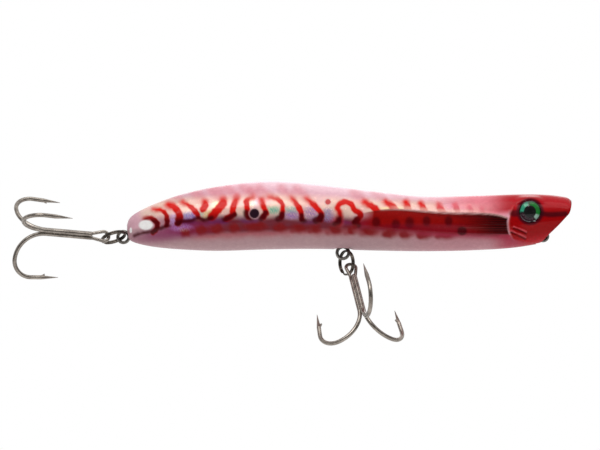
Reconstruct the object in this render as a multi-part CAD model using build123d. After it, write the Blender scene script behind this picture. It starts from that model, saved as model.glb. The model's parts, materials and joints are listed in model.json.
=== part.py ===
"""Topwater popper: a hollow two-part lure body with wire hangers, weights, rattle balls and two treble hooks.

Millimetres. +X is the nose, +Z the back, and the right flank faces -Y. The origin is the centre of the
line tie, the wire eye under the mouth, and the body's two halves meet on the XZ plane.
"""
from build123d import *

from math import atan2, cos, radians, sin, sqrt
import os

# ---------------------------------------------------------------- body
# stations along the body: X, top Z, bottom Z, half width
STATIONS = [
    (-112.45, 3.0, 0.6, 1.0),
    (-112.1, 4.2, -0.6, 2.2),
    (-111.2, 5.4, -1.4, 3.0),
    (-108.9, 6.9, -2.2, 3.9),
    (-104.6, 8.9, -3.0, 5.0),
    (-98.0, 11.2, -3.6, 6.3),
    (-88.0, 13.4, -4.0, 7.5),
    (-74.0, 14.8, -3.6, 8.2),
    (-60.0, 13.8, -3.5, 8.0),
    (-46.0, 12.1, -3.9, 7.5),
    (-32.0, 10.7, -4.1, 7.0),
    (-18.0, 10.9, -3.8, 6.6),
    (-6.0, 11.3, -2.9, 6.4),
    (2.0, 11.1, -1.0, 6.2),
    (9.5, 10.0, 1.6, 5.4),
]
WALL = 1.3
CAVITY_TAIL_X = -108.0
CAVITY_NOSE_X = -8.0
SPLIT_GAP = 0.02                   # between the two halves, so that they touch without overlapping

# ---------------------------------------------------------------- mouth
MOUTH_TOP = (7.6, 8.7)             # X, Z of the upper lip on the slanted mouth face
MOUTH_LOW = (-1.2, -1.6)           # X, Z of the chin
CUP_SHIFT = 0.6                    # the cup's centre, outside the mouth face
CUP_DEPTH = 5.2
CUP_HALF_WIDTH = 4.7
CUP_HALF_HEIGHT = 5.6
CHIN_SLOT_HALF_WIDTH = 1.6
CHIN_SLOT_RADIUS = 2.9

# ---------------------------------------------------------------- hangers
WIRE = 0.9                         # diameter of the stainless hanger wire
GROOVE_GAP = 0.03                  # all round a hanger wire where it lies in the shells
RUN_OFFSET = 0.46 * WIRE           # of each of a hanger's two pressed runs from its middle line
TIE_EYE = (0.0, 0.0)               # X, Z of the line tie's eye, the origin
TIE_EYE_BORE = 1.7                 # coined flat land inside the line tie
TIE_EYE_RADIUS = 1.25              # to the middle of the wire
TIE_POST = (-7.6, 3.6)
BELLY_EYE = (-54.1, -4.5)
BELLY_EYE_RADIUS = 1.58
BELLY_POST = (-54.1, 2.6)
TAIL_EYE = (-113.45, -0.25)
TAIL_EYE_RADIUS = 1.5
TAIL_POST = (-106.2, 2.2)
POST_EYE_RADIUS = 1.5
POST_CLEARANCE = 0.9               # of solid plastic round the rear eye of a hanger
BELLY_DIMPLE = (-4.9, 3.0)         # Z and radius of the hollow in the belly that lets the split ring swing
HANGER_BLOCK = 3.6                 # half length of the solid block round the belly hanger

# ---------------------------------------------------------------- split rings and hooks
RING_RADIUS = 3.2                  # to the middle of the wire
RING_WIRE = 0.52
RING_PITCH = 0.5                   # between the two coils
HOOK_WIRE = 1.15
HOOK_LENGTH = 25.15                # from the eye's end to the middle of the bend
SHANK_OFFSET = 0.67                # of each shank from the hook's axis
THROAT_RADIUS = 7.6
BEND_RADIUS = 4.6
POINT_LEAN = 4.4                   # degrees that the point leans back to the shank
POINT_LENGTH = 7.4
HOOK_EYE_RADIUS = 1.35
HOOK_EYE_WIRE = 0.9
HOOK_EYE_NECK = 5.2                # from the eye's end to where its sides reach the shanks
TINE_ANGLE = 120                   # between the tines, in degrees
SINGLE_START = 5.6                 # from the eye's end to the single hook's rounded nose
POINT_CONE = 4.6                   # length of the tapered point
POINT_TIP = 0.06                   # radius at the very end
BARB_BACK = 0.9                    # from the point's wide end to the barb's root
BARB_REACH = 1.0
BARB_RISE = 1.9
BARB_THICK = 0.45

# how each ring and hook hangs: a ring's centre and axis; a hook's eye end, azimuth in the XZ plane,
# lean out of it and roll, in degrees
BELLY_RING = ((-53.14, -1.31, -7.19), (-0.838, -0.546, -0.008))
BELLY_HOOK = ((-52.26, -1.42, -7.30), -76.21, -44.97, 74.57)
TAIL_RING = ((-116.01, -1.84, -0.30), (-0.292, 0.356, 0.888))
TAIL_HOOK = ((-116.75, -3.74, -0.21), 174.91, -14.33, 109.62)

# ---------------------------------------------------------------- weights and rattle
BALL_REST_GAP = 0.02               # between a ball and what it rests against
FIT_GAP = 0.03                     # all round a fixed piece in its seat
TAIL_WEIGHT = (-95.0, 1.2, 3.2, 11.0)    # X, Z of its centre, radius, length
BELLY_WEIGHT = (-39.0, 0.4, 2.5, 12.0)
WEIGHT_ROUND = 0.6                 # fillet at a weight's ends
BALL_RADIUS = 2.2
BALL_GAP = 0.1                     # between a ball and the bore that it runs in
TRANSFER_X = (-86.5, -59.5)        # ends of the transfer channel
TRANSFER_Z = 7.6
RATTLE_X = (-27.0, -12.0)          # ends of the rattle chamber
RATTLE_Z = 4.4
LINER_WALL = 0.5                   # of the thin brass tubes that line both chambers
CAP = 0.6                          # thickness of the caps that close them
RIB = 1.2                          # thickness of the moulded ribs
RIB_STATIONS = (-103.0, -90.0, -82.0, -64.0, -47.0, -31.0, -24.0, -14.5)
PIN_STATIONS = ((-99.0, 7.4), (-57.5, 8.4), (-47.0, 9.0), (-9.8, 8.9))   # X, Z of the locating pins
PIN_RADIUS = 0.8
PIN_LENGTH = 1.6
PIN_ROOT = 0.1                     # of each pin inside the right half
PIN_BOSS = 1.7

# ---------------------------------------------------------------- eyes
EYE = (-3.9, 6.6)                  # X, Z of the fish eye
EYE_RADIUS = 3.0
EYE_FLOOR = 5.0                    # from the middle plane to the pocket's flat floor
EYE_POCKET_DEPTH = 6.0             # of the cut, which runs well past the skin
EYE_GAP = 0.03
EYE_DISC = 0.25
EYE_DOME = 1.0

# larger than anything that it cuts or bounds
FAR = 100.0

os.makedirs("parts", exist_ok=True)


# ---------------------------------------------------------------- helpers
def at(x, z, y=0.0):
    """A location in the lure's frame from the side view's X and Z."""
    return Pos(x, y, z)


def rod(start, end, radius):
    """A round bar between two points."""
    start, end = Vector(*start), Vector(*end)
    axis = end - start
    plane = Plane(origin=start, z_dir=axis)
    return extrude(plane * Circle(radius), axis.length)


def ring_bar(centre, radius, wire, axis=(0, 1, 0)):
    """A closed ring of round wire about an axis."""
    plane = Plane(origin=Vector(*centre), z_dir=Vector(*axis))
    return plane * Torus(radius, wire / 2)


def fused(pieces):
    """One solid made of pieces that overlap each other."""
    whole = pieces[0]
    for piece in pieces[1:]:
        whole = whole + piece
    return whole


def section_at(x):
    """Top, bottom and half width of the body at one X, on a smooth curve through the stations."""
    count = len(STATIONS)
    index = max(i for i in range(count - 1) if STATIONS[i][0] <= x)
    before = STATIONS[max(index - 1, 0)]
    start, end = STATIONS[index], STATIONS[index + 1]
    after = STATIONS[min(index + 2, count - 1)]
    span = end[0] - start[0]
    t = (x - start[0]) / span
    values = []
    for k in (1, 2, 3):
        slope_start = (end[k] - before[k]) / (end[0] - before[0]) * span
        slope_end = (after[k] - start[k]) / (after[0] - start[0]) * span
        value = start[k] * (2 * t ** 3 - 3 * t ** 2 + 1) + end[k] * (3 * t ** 2 - 2 * t ** 3)
        values.append(value + slope_start * (t ** 3 - 2 * t ** 2 + t) + slope_end * (t ** 3 - t ** 2))
    return values


def body_loft(inset, x_from, x_to):
    """The body between two stations, drawn in by an inset, in short straight-sided spans."""
    places = [x for x, *_ in STATIONS]
    places += [(a + b) / 2 for a, b in zip(places, places[1:])]
    faces = []
    for x in sorted(place for place in places if x_from <= place <= x_to):
        top, bottom, half_width = section_at(min(x, STATIONS[-1][0] - 0.001))
        plane = Plane(origin=(x, 0, (top + bottom) / 2), x_dir=(0, 1, 0), z_dir=(1, 0, 0))
        faces.append(plane * Ellipse(half_width - inset, (top - bottom) / 2 - inset))
    return loft(faces, ruled=True)


def slab(x_from, x_to, z_to=FAR):
    """A box across the body between two stations, from far below it up to one height."""
    box = Box(x_to - x_from, FAR, z_to + FAR)
    return at((x_from + x_to) / 2, (z_to - FAR) / 2) * box


# ---------------------------------------------------------------- hangers
def hanger_wire(eye, eye_radius, post, wire=WIRE):
    """One wire bent into an eight: the eye outside, a pinched neck and the eye that sits on a post."""
    run = Vector(post[0] - eye[0], 0, post[1] - eye[1])
    along = run.normalized()
    across = Vector(-along.Z, 0, along.X)
    near = sqrt(eye_radius ** 2 - RUN_OFFSET ** 2)
    far = run.length - sqrt(POST_EYE_RADIUS ** 2 - RUN_OFFSET ** 2)
    origin = Vector(eye[0], 0, eye[1])
    pieces = [ring_bar(origin, eye_radius, wire), ring_bar((post[0], 0, post[1]), POST_EYE_RADIUS, wire)]
    for side in (-1, 1):
        offset = across * (side * RUN_OFFSET)
        pieces.append(rod(origin + along * near + offset, origin + along * far + offset, wire / 2))
    return fused(pieces)


def line_tie_wire():
    """The front hanger, whose eye has a coined flat land inside for the line."""
    land = Plane.XZ * Cylinder(TIE_EYE_BORE / 2, 3 * WIRE)
    return hanger_wire(TIE_EYE, TIE_EYE_RADIUS, TIE_POST) - land


# ---------------------------------------------------------------- shells
def mouth_plane():
    """The slanted mouth face, with its normal pointing out of the mouth."""
    run = Vector(MOUTH_TOP[0] - MOUTH_LOW[0], 0, MOUTH_TOP[1] - MOUTH_LOW[1])
    middle = Vector((MOUTH_TOP[0] + MOUTH_LOW[0]) / 2, 0, (MOUTH_TOP[1] + MOUTH_LOW[1]) / 2)
    return Plane(origin=middle, x_dir=(0, 1, 0), z_dir=Vector(run.Z, 0, -run.X))


def mouth_cuts():
    """Everything in front of the mouth face, the hollow cup behind it and the chin's slot."""
    plane = mouth_plane()
    front = plane * Pos(0, 0, FAR / 2) * Box(FAR, FAR, FAR)
    cup = scale(Sphere(1), (CUP_HALF_WIDTH, CUP_HALF_HEIGHT, CUP_DEPTH))
    slot = Plane.XZ * Cylinder(CHIN_SLOT_RADIUS, 2 * CHIN_SLOT_HALF_WIDTH)
    return [front, plane * Pos(0, 0, CUP_SHIFT) * cup, slot]


def cross_bar(x, z, radius, length, y=0.0):
    """A round bar along Y about its middle."""
    return at(x, z, y) * Rot(90, 0, 0) * Cylinder(radius, length)


def eye_pocket():
    """The round flat-bottomed pocket for the left fish eye."""
    return cross_bar(*EYE, EYE_RADIUS, EYE_POCKET_DEPTH, EYE_FLOOR + EYE_POCKET_DEPTH / 2)


def cylinder_along(x_from, x_to, z, radius):
    """A round bar along X."""
    return rod((x_from, 0, z), (x_to, 0, z), radius)


def slug(weight, gap=0.0):
    """A fixed weight: a bar along X with rounded edges."""
    x, z, radius, length = weight
    bar = cylinder_along(x - length / 2 - gap, x + length / 2 + gap, z, radius + gap)
    if gap:
        return bar
    return fillet(bar.edges().filter_by(GeomType.CIRCLE), WEIGHT_ROUND)


def chamber_radius():
    """Outer radius of the tube that lines a chamber."""
    return BALL_RADIUS + BALL_GAP + LINER_WALL


def seats():
    """What is cut from the ribs for the weights and the two lined chambers."""
    bores = [slug(TAIL_WEIGHT, FIT_GAP), slug(BELLY_WEIGHT, FIT_GAP)]
    for (x_from, x_to), z in ((TRANSFER_X, TRANSFER_Z), (RATTLE_X, RATTLE_Z)):
        bores.append(cylinder_along(x_from - FIT_GAP, x_to + FIT_GAP, z, chamber_radius() + FIT_GAP))
    return bores


def ribs():
    """The moulded ribs, weight cradles, posts and bosses that stand inside the body."""
    pieces = [slab(x - RIB / 2, x + RIB / 2) for x in RIB_STATIONS]
    for x, z, _, length in (TAIL_WEIGHT, BELLY_WEIGHT):
        pieces.append(slab(x - length / 2, x + length / 2, z))
    pieces.append(slab(BELLY_POST[0] - HANGER_BLOCK, BELLY_POST[0] + HANGER_BLOCK, BELLY_POST[1]))
    pieces += [cross_bar(x, z, PIN_BOSS, FAR) for x, z in PIN_STATIONS]
    pieces += [cross_bar(x, z, POST_EYE_RADIUS + POST_CLEARANCE, FAR) for x, z in (BELLY_POST, TAIL_POST)]
    return pieces


def hanger_recess(eye, eye_radius, post):
    """The groove that a hanger wire lies in, open inside its rear eye so that a post stands in it."""
    return hanger_wire(eye, eye_radius, post, WIRE + 2 * GROOVE_GAP)


def plain_half():
    """The left half without pins or sockets: hollow between its ribs, with its grooves, mouth and pocket."""
    hollow = body_loft(WALL, CAVITY_TAIL_X, CAVITY_NOSE_X)
    for rib in ribs():
        hollow = hollow - rib
    room = Pos(0, FAR + SPLIT_GAP / 2, 0) * Box(4 * FAR, 2 * FAR, 2 * FAR)
    half = (body_loft(0, STATIONS[0][0], STATIONS[-1][0]) - hollow) & room
    dimple = at(BELLY_EYE[0], BELLY_DIMPLE[0]) * Sphere(BELLY_DIMPLE[1])
    cuts = seats() + mouth_cuts() + [eye_pocket(), dimple]
    cuts.append(hanger_recess(TIE_EYE, TIE_EYE_RADIUS, TIE_POST))
    cuts.append(hanger_recess(BELLY_EYE, BELLY_EYE_RADIUS, BELLY_POST))
    cuts.append(hanger_recess(TAIL_EYE, TAIL_EYE_RADIUS, TAIL_POST))
    for cut in cuts:
        half = half - cut
    return half


def pins(gap):
    """The locating pins, rooted in the right half, or the room for them with a gap all round."""
    length = PIN_LENGTH + gap + PIN_ROOT
    y = (PIN_LENGTH + gap - PIN_ROOT) / 2
    return [cross_bar(x, z, PIN_RADIUS + gap, length, y) for x, z in PIN_STATIONS]


def right_shell(half):
    """The half toward -Y, which carries the locating pins."""
    return fused([mirror(half, about=Plane.XZ)] + pins(0))


def left_shell(half):
    """The half toward +Y, with a socket for each pin."""
    for socket in pins(FIT_GAP):
        half = half - socket
    return half


# ---------------------------------------------------------------- eyes
def eye_disc(side):
    """The printed foil disc at the bottom of an eye pocket."""
    y = side * (EYE_FLOOR + EYE_GAP + EYE_DISC / 2)
    return cross_bar(*EYE, EYE_RADIUS - EYE_GAP, EYE_DISC, y)


def eye_dome(side):
    """The clear domed lens over the disc, a slice of a sphere."""
    base = EYE_FLOOR + 2 * EYE_GAP + EYE_DISC
    rim = EYE_RADIUS - EYE_GAP
    ball_radius = (rim ** 2 + EYE_DOME ** 2) / (2 * EYE_DOME)
    centre_y = side * (base + EYE_DOME - ball_radius)
    ball = at(EYE[0], EYE[1], centre_y) * Sphere(ball_radius)
    room = at(EYE[0], EYE[1], side * (base + EYE_RADIUS)) * Box(*[2 * EYE_RADIUS] * 3)
    return ball & room


# ---------------------------------------------------------------- weights and rattles
def chamber_liner(ends, z):
    """The thin tube of a chamber, closed at its rear end."""
    x_from, x_to = ends
    outer = cylinder_along(x_from, x_to, z, chamber_radius())
    return outer - cylinder_along(x_from + CAP, x_to + CAP, z, BALL_RADIUS + BALL_GAP)


def chamber_cap(ends, z):
    """The disc pressed into the front end of a chamber."""
    return cylinder_along(ends[1] - CAP, ends[1], z, BALL_RADIUS + BALL_GAP - FIT_GAP / 2)


def ball(x, z):
    """A steel ball."""
    return at(x, z) * Sphere(BALL_RADIUS)


# ---------------------------------------------------------------- split rings
def split_ring(plane):
    """Two close coils of round wire, joined along their touching sides."""
    coils = [plane * Pos(0, 0, side * RING_PITCH / 2) * Torus(RING_RADIUS, RING_WIRE / 2) for side in (-1, 1)]
    return fused(coils)


# ---------------------------------------------------------------- treble hooks
def tine(shank_from):
    """One shank, bend and barbed point, in the XZ plane of the hook, whose axis is +Z away from the eye."""
    radius = HOOK_WIRE / 2
    lean = radians(POINT_LEAN)
    throat_z = HOOK_LENGTH - THROAT_RADIUS
    bend = Vector(SHANK_OFFSET + THROAT_RADIUS, 0, HOOK_LENGTH - BEND_RADIUS)
    start = Vector(SHANK_OFFSET, 0, throat_z)
    diagonal = THROAT_RADIUS * sin(radians(45))
    mid_throat = Vector(SHANK_OFFSET + THROAT_RADIUS - diagonal, 0, throat_z + diagonal)
    low = Vector(SHANK_OFFSET + THROAT_RADIUS, 0, HOOK_LENGTH)
    half_turn = (radians(90) + lean) / 2
    mid_bend = bend + Vector(sin(half_turn), 0, cos(half_turn)) * BEND_RADIUS
    leg = bend + Vector(cos(lean), 0, -sin(lean)) * BEND_RADIUS
    toward = Vector(-sin(lean), 0, -cos(lean))
    cone_start = leg + toward * (POINT_LENGTH - POINT_CONE)
    path = Wire([
        Line((SHANK_OFFSET, 0, shank_from), start),
        ThreePointArc(start, mid_throat, low),
        ThreePointArc(low, mid_bend, leg),
        Line(leg, cone_start),
    ])
    bar = sweep(Plane(origin=(SHANK_OFFSET, 0, shank_from), z_dir=(0, 0, 1)) * Circle(radius), path)
    cone_plane = Plane(origin=cone_start, x_dir=(0, 1, 0), z_dir=toward)
    cone = cone_plane * Pos(0, 0, POINT_CONE / 2) * Cone(radius, POINT_TIP, POINT_CONE)
    barb_root = cone_start + toward * BARB_BACK
    barb_plane = Plane(origin=barb_root, x_dir=(-cos(lean), 0, sin(lean)), z_dir=(0, 1, 0))
    outline = barb_plane * Polyline((0, 0), (BARB_REACH, 0), (0, BARB_RISE), close=True)
    barb = extrude(make_face(outline), BARB_THICK / 2, both=True)
    return bar + cone + barb


def hook_eye():
    """The double hook's eye: the wire leaves one shank, goes round and comes back as the other."""
    centre = HOOK_EYE_RADIUS + HOOK_EYE_WIRE / 2
    reach = HOOK_EYE_NECK - centre
    shank_x = SHANK_OFFSET * cos(radians(TINE_ANGLE))
    shank_y = SHANK_OFFSET * sin(radians(TINE_ANGLE))
    tangent_length = sqrt(reach ** 2 + shank_y ** 2 - HOOK_EYE_RADIUS ** 2)
    slope = atan2(shank_y, reach) + atan2(tangent_length, HOOK_EYE_RADIUS)
    touch = (0, HOOK_EYE_RADIUS * sin(slope), centre + HOOK_EYE_RADIUS * cos(slope))
    touch_back = (0, -touch[1], touch[2])
    bow = Wire([ThreePointArc(touch, (0, 0, HOOK_EYE_WIRE / 2), touch_back)])
    tangent = bow.edges()[0] % 0
    pieces = [sweep(Plane(origin=touch, z_dir=tangent) * Circle(HOOK_EYE_WIRE / 2), bow)]
    for side, end in ((1, touch), (-1, touch_back)):
        neck = (shank_x, side * shank_y, HOOK_EYE_NECK)
        pieces.append(rod(end, neck, HOOK_EYE_WIRE / 2))
        pieces.append(Pos(*end) * Sphere(HOOK_EYE_WIRE / 2))
        pieces.append(Pos(*neck) * Sphere(HOOK_WIRE / 2))
    return pieces


def double_hook(plane):
    """One wire with two points: the eye in its middle and a tine each side of the hook's axis."""
    tines = [Rot(0, 0, angle) * tine(HOOK_EYE_NECK) for angle in (TINE_ANGLE, -TINE_ANGLE)]
    return plane * fused(tines + hook_eye())


def single_hook(plane):
    """The third tine, brazed along the pair of shanks."""
    nose = Pos(SHANK_OFFSET, 0, SINGLE_START) * Sphere(HOOK_WIRE / 2)
    return plane * fused([tine(SINGLE_START), nose])


def hook_plane(eye_end, azimuth, lean, roll):
    """The hook's own frame: its origin at the eye's end, +Z along the shank, +X toward the single tine."""
    flat = cos(radians(lean))
    along = Vector(flat * cos(radians(azimuth)), sin(radians(lean)), flat * sin(radians(azimuth)))
    across = along.cross(Vector(0, 1, 0)).normalized()
    up = along.cross(across)
    single = across * cos(radians(roll)) + up * sin(radians(roll))
    return Plane(origin=eye_end, x_dir=single, z_dir=along)


def write(name, solid):
    """Writes one sub-part."""
    export_step(solid, f"parts/{name}.step")


def main():
    half = plain_half()
    write("right_shell", right_shell(half))
    write("left_shell", left_shell(half))
    for side, name in ((-1, "right"), (1, "left")):
        write(f"{name}_eye_disc", eye_disc(side))
        write(f"{name}_eye_dome", eye_dome(side))
    write("line_tie_wire", line_tie_wire())
    write("belly_hanger_wire", hanger_wire(BELLY_EYE, BELLY_EYE_RADIUS, BELLY_POST))
    write("tail_hanger_wire", hanger_wire(TAIL_EYE, TAIL_EYE_RADIUS, TAIL_POST))
    write("tail_weight", slug(TAIL_WEIGHT))
    write("belly_weight", slug(BELLY_WEIGHT))
    for name, ends, z in (("transfer", TRANSFER_X, TRANSFER_Z), ("rattle", RATTLE_X, RATTLE_Z)):
        write(f"{name}_tube", chamber_liner(ends, z))
        write(f"{name}_tube_cap", chamber_cap(ends, z))
    first_ball = TRANSFER_X[0] + CAP + BALL_RADIUS + BALL_REST_GAP
    for count, name in enumerate(("rear", "front")):
        x = first_ball + count * (2 * BALL_RADIUS + BALL_REST_GAP)
        write(f"{name}_transfer_ball", ball(x, TRANSFER_Z))
    write("rattle_ball", ball(RATTLE_X[0] + CAP + BALL_RADIUS + BALL_REST_GAP, RATTLE_Z))
    for name, ring, hook in (("belly", BELLY_RING, BELLY_HOOK), ("tail", TAIL_RING, TAIL_HOOK)):
        write(f"{name}_split_ring", split_ring(Plane(origin=ring[0], z_dir=ring[1])))
        plane = hook_plane(*hook)
        write(f"{name}_double_hook", double_hook(plane))
        write(f"{name}_single_hook", single_hook(plane))


main()
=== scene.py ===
"""Looks of a topwater popper: painted body halves, fish eyes, split rings, hooks and the studio round them.

Lengths are millimetres until a mesh is made, in the CAD frame: +X nose, +Z back, origin at the line tie.
"""

import json
import math

import bmesh
import bpy
import numpy as np
from mathutils import Matrix, Vector

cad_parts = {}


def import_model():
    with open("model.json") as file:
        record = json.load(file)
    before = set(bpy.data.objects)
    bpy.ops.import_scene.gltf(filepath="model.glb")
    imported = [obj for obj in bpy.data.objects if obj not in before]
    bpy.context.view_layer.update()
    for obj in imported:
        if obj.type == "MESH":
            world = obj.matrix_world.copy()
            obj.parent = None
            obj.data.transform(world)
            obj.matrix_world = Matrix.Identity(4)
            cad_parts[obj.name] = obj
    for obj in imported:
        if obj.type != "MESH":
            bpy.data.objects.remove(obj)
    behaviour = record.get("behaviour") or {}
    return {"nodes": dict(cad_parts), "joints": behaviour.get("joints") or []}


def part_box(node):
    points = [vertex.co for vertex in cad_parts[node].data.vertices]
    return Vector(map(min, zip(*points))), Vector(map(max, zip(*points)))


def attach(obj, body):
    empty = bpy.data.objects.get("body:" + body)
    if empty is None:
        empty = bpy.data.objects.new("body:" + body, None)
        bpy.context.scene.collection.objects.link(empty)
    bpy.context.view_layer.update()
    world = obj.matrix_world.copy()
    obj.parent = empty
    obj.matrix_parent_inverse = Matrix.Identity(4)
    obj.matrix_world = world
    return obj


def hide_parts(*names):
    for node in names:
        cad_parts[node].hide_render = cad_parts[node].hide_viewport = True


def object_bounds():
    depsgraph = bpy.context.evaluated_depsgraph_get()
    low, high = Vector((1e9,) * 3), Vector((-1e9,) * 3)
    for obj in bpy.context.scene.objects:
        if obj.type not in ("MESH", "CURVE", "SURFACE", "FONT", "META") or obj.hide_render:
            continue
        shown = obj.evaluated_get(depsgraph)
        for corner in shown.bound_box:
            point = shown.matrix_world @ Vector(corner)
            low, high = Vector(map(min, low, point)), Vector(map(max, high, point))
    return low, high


MM = 0.001

# ---------------- body shape, as in the CAD part
# stations along the body: X, top Z, bottom Z, half width
STATIONS = np.array([
    (-112.45, 3.0, 0.6, 1.0),
    (-112.1, 4.2, -0.6, 2.2),
    (-111.2, 5.4, -1.4, 3.0),
    (-108.9, 6.9, -2.2, 3.9),
    (-104.6, 8.9, -3.0, 5.0),
    (-98.0, 11.2, -3.6, 6.3),
    (-88.0, 13.4, -4.0, 7.5),
    (-74.0, 14.8, -3.6, 8.2),
    (-60.0, 13.8, -3.5, 8.0),
    (-46.0, 12.1, -3.9, 7.5),
    (-32.0, 10.7, -4.1, 7.0),
    (-18.0, 10.9, -3.8, 6.6),
    (-6.0, 11.3, -2.9, 6.4),
    (2.0, 11.1, -1.0, 6.2),
    (9.5, 10.0, 1.6, 5.4),
])
WALL = 1.3
SPLIT_GAP = 0.02
CAVITY = (-108.0, -8.0)
MOUTH_MIDDLE = (3.2, 3.55)         # X, Z of the middle of the slanted mouth face
MOUTH_SLOPE = 8.8 / 10.3           # X per Z along the face
SHEAR_START = -14.0                # where the rings begin to lean toward the mouth face
LIP = (6.9, 0.65, 0.9)             # X where the upper lip begins to round off, how far, how softly
LIP_DROP = (5.6, 0.7)              # X where the upper lip's edge begins to drop, and how far
SWELL = [(-4.0, 0.3), (-2.0, 0.7), (0.5, 0.75), (3.0, 1.1), (6.0, 1.3), (7.3, 0.8), (8.8, 0.1), (11.0, 0.0)]
SWELL_DEPTH = 3.0                  # SWELL is how far the mouth's edge stands ahead of its plane at each Z
CUP_SHIFT = 0.6
CUP = (4.7, 5.6, 5.2)              # half width, half height and depth of the hollow mouth
LIP_ROUND = 0.4
SLOT_HALF_WIDTH = 1.6
SLOT_RADIUS = 2.9
DIMPLE = (-54.1, -4.9, 3.0)        # X, Z and radius of the hollow in the belly
TAIL_SLOT = (-113.45, -0.25, 2.1, 0.6)     # X, Z, radius and half width of the slot for the tail hanger's eye
EYE = (-3.9, 6.6)
EYE_FLOOR = 5.0
EYE_RIM = 5.1                      # from the middle plane to the raised rim of the eye socket
EYE_RIM_WIDTH = 0.35
EYE_RIM_FADE = 2.0
POCKET_DEPTH = 6.0
IRIS_BEVEL = 0.05
IRIS_HOLLOW = 0.1
ROW = 0.2                          # grid spacing along the body
COLUMNS = 115
TAIL_ROWS = 22
TAIL_ROUND = 3.0
COARSE = 6                         # the inner wall has one row and column for this many outside

# ---------------- relief on the flanks
LEDGE = [
    (-52.0, 5.4), (-48.4, 6.2), (-44.1, 6.9), (-38.6, 7.2),
    (-27.0, 6.3), (-16.8, 6.1), (-12.7, 5.7), (-10.0, 4.9),
]
SCOOP_FLOOR = [(-52.0, 3.0), (-40.0, 1.9), (-25.0, 0.9), (-14.0, 0.4), (-8.0, 0.2)]
GILL = [(-8.3, 8.9), (-9.1, 6.8), (-9.8, 4.1), (-9.7, 2.2), (-9.2, 0.3), (-8.4, -0.9)]
SLITS = [[(-8.3, 2.1), (-6.6, 1.5), (-5.0, 0.7)], [(-9.0, 1.0), (-7.1, 0.2), (-5.1, -0.7)]]
SCOOP_DEPTH = 1.15
TAIL_DRAW = 0.1                    # how far the tail's rounded end is drawn in to clear the split ring

# ---------------- paint pattern
STRIPES = [  # centre lines from the back down, with each stripe's half width
    (0.55, [(-107.3, 4.7), (-105.9, 4.9), (-104.3, 3.8), (-104.1, 2.4), (-105.2, 0.9)]),
    (0.55, [(-105.2, 7.2), (-103.0, 7.0), (-101.8, 5.9), (-101.4, 4.3), (-101.5, 2.9)]),
    (0.85, [(-101.2, 8.4), (-99.6, 7.8), (-98.4, 6.5), (-98.0, 5.1), (-98.4, 3.5)]),
    (0.6, [(-97.3, 9.1), (-95.8, 8.4), (-94.5, 7.4), (-93.4, 6.1), (-92.9, 5.1)]),
    (0.8, [(-91.3, 9.3), (-91.1, 8.4), (-91.7, 7.2)]),
    (1.0, [(-86.4, 10.1), (-86.4, 8.9), (-87.8, 7.0), (-89.4, 5.3)]),
    (0.75, [(-82.7, 10.7), (-83.2, 8.9), (-83.8, 7.0), (-83.7, 5.8), (-85.4, 4.8)]),
    (0.7, [(-78.4, 10.6), (-80.0, 9.5), (-79.9, 7.4), (-79.4, 5.2)]),
    (0.7, [(-76.0, 9.9), (-75.4, 7.9), (-74.8, 6.4), (-75.5, 5.2)]),
    (0.6, [(-73.8, 10.6), (-71.8, 10.0), (-70.5, 8.7), (-70.4, 7.0), (-70.6, 5.2)]),
    (0.65, [(-68.0, 10.4), (-66.6, 8.6), (-65.4, 6.5), (-65.2, 4.6)]),
    (0.7, [(-63.9, 10.2), (-61.6, 7.9), (-60.0, 6.0), (-60.3, 4.6)]),
    (0.7, [(-55.4, 3.6), (-54.9, 5.9), (-55.7, 7.9), (-54.0, 9.2),
           (-52.2, 8.7), (-51.1, 7.1), (-49.5, 5.7), (-51.0, 3.6)]),
    (0.85, [(-48.4, 9.2), (-46.4, 8.0), (-45.0, 6.5), (-45.3, 3.7)]),
    (0.8, [(-42.6, 9.3), (-41.0, 8.0), (-39.9, 6.6), (-40.0, 3.2)]),
    (0.9, [(-37.2, 9.0), (-36.7, 7.4), (-36.3, 3.6)]),
    (0.8, [(-33.2, 8.7), (-32.5, 7.2), (-31.7, 4.0)]),
    (0.8, [(-28.4, 8.4), (-27.8, 6.9), (-25.8, 4.0)]),
    (0.7, [(-24.0, 8.3), (-23.4, 6.8)]),
    (0.6, [(-20.2, 7.9), (-19.6, 6.4)]),
    (0.5, [(-16.9, 7.4), (-16.4, 6.0)]),
]
STROKE_WIDTH = 1.15                # widens every stripe
DARK_LINES = [
    (0.4, [(-110.3, 0.0), (-108.4, 0.8), (-105.9, 1.2), (-103.0, 2.2), (-101.0, 2.8)]),
    (0.5, [(-98.4, 3.4), (-97.0, 4.0), (-95.1, 4.2), (-93.0, 4.9), (-91.4, 4.4), (-89.5, 5.0)]),
]
FEET = [  # dark lower ends of the stripes, with each one's half width
    (0.6, [(-83.2, 5.7), (-84.2, 5.2), (-86.0, 4.6)]),
    (0.75, [(-80.2, 6.4), (-79.9, 5.5), (-78.9, 5.0)]),
    (0.65, [(-74.9, 6.4), (-75.2, 5.7), (-76.1, 4.8)]),
    (0.8, [(-70.5, 5.8), (-70.8, 5.1), (-71.6, 4.6)]),
    (0.65, [(-65.2, 5.4), (-65.4, 4.6), (-64.7, 4.2)]),
    (0.85, [(-60.1, 5.4), (-60.5, 4.7), (-61.4, 4.3)]),
    (0.7, [(-55.3, 4.6), (-55.6, 3.8), (-56.4, 3.3)]),
    (0.8, [(-50.5, 4.4), (-51.0, 3.5), (-50.2, 3.1)]),
    (0.75, [(-45.2, 4.6), (-45.4, 3.6)]),
    (0.6, [(-40.0, 4.0), (-40.2, 3.1)]),
    (0.7, [(-36.3, 4.4), (-36.5, 3.6)]),
]
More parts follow.
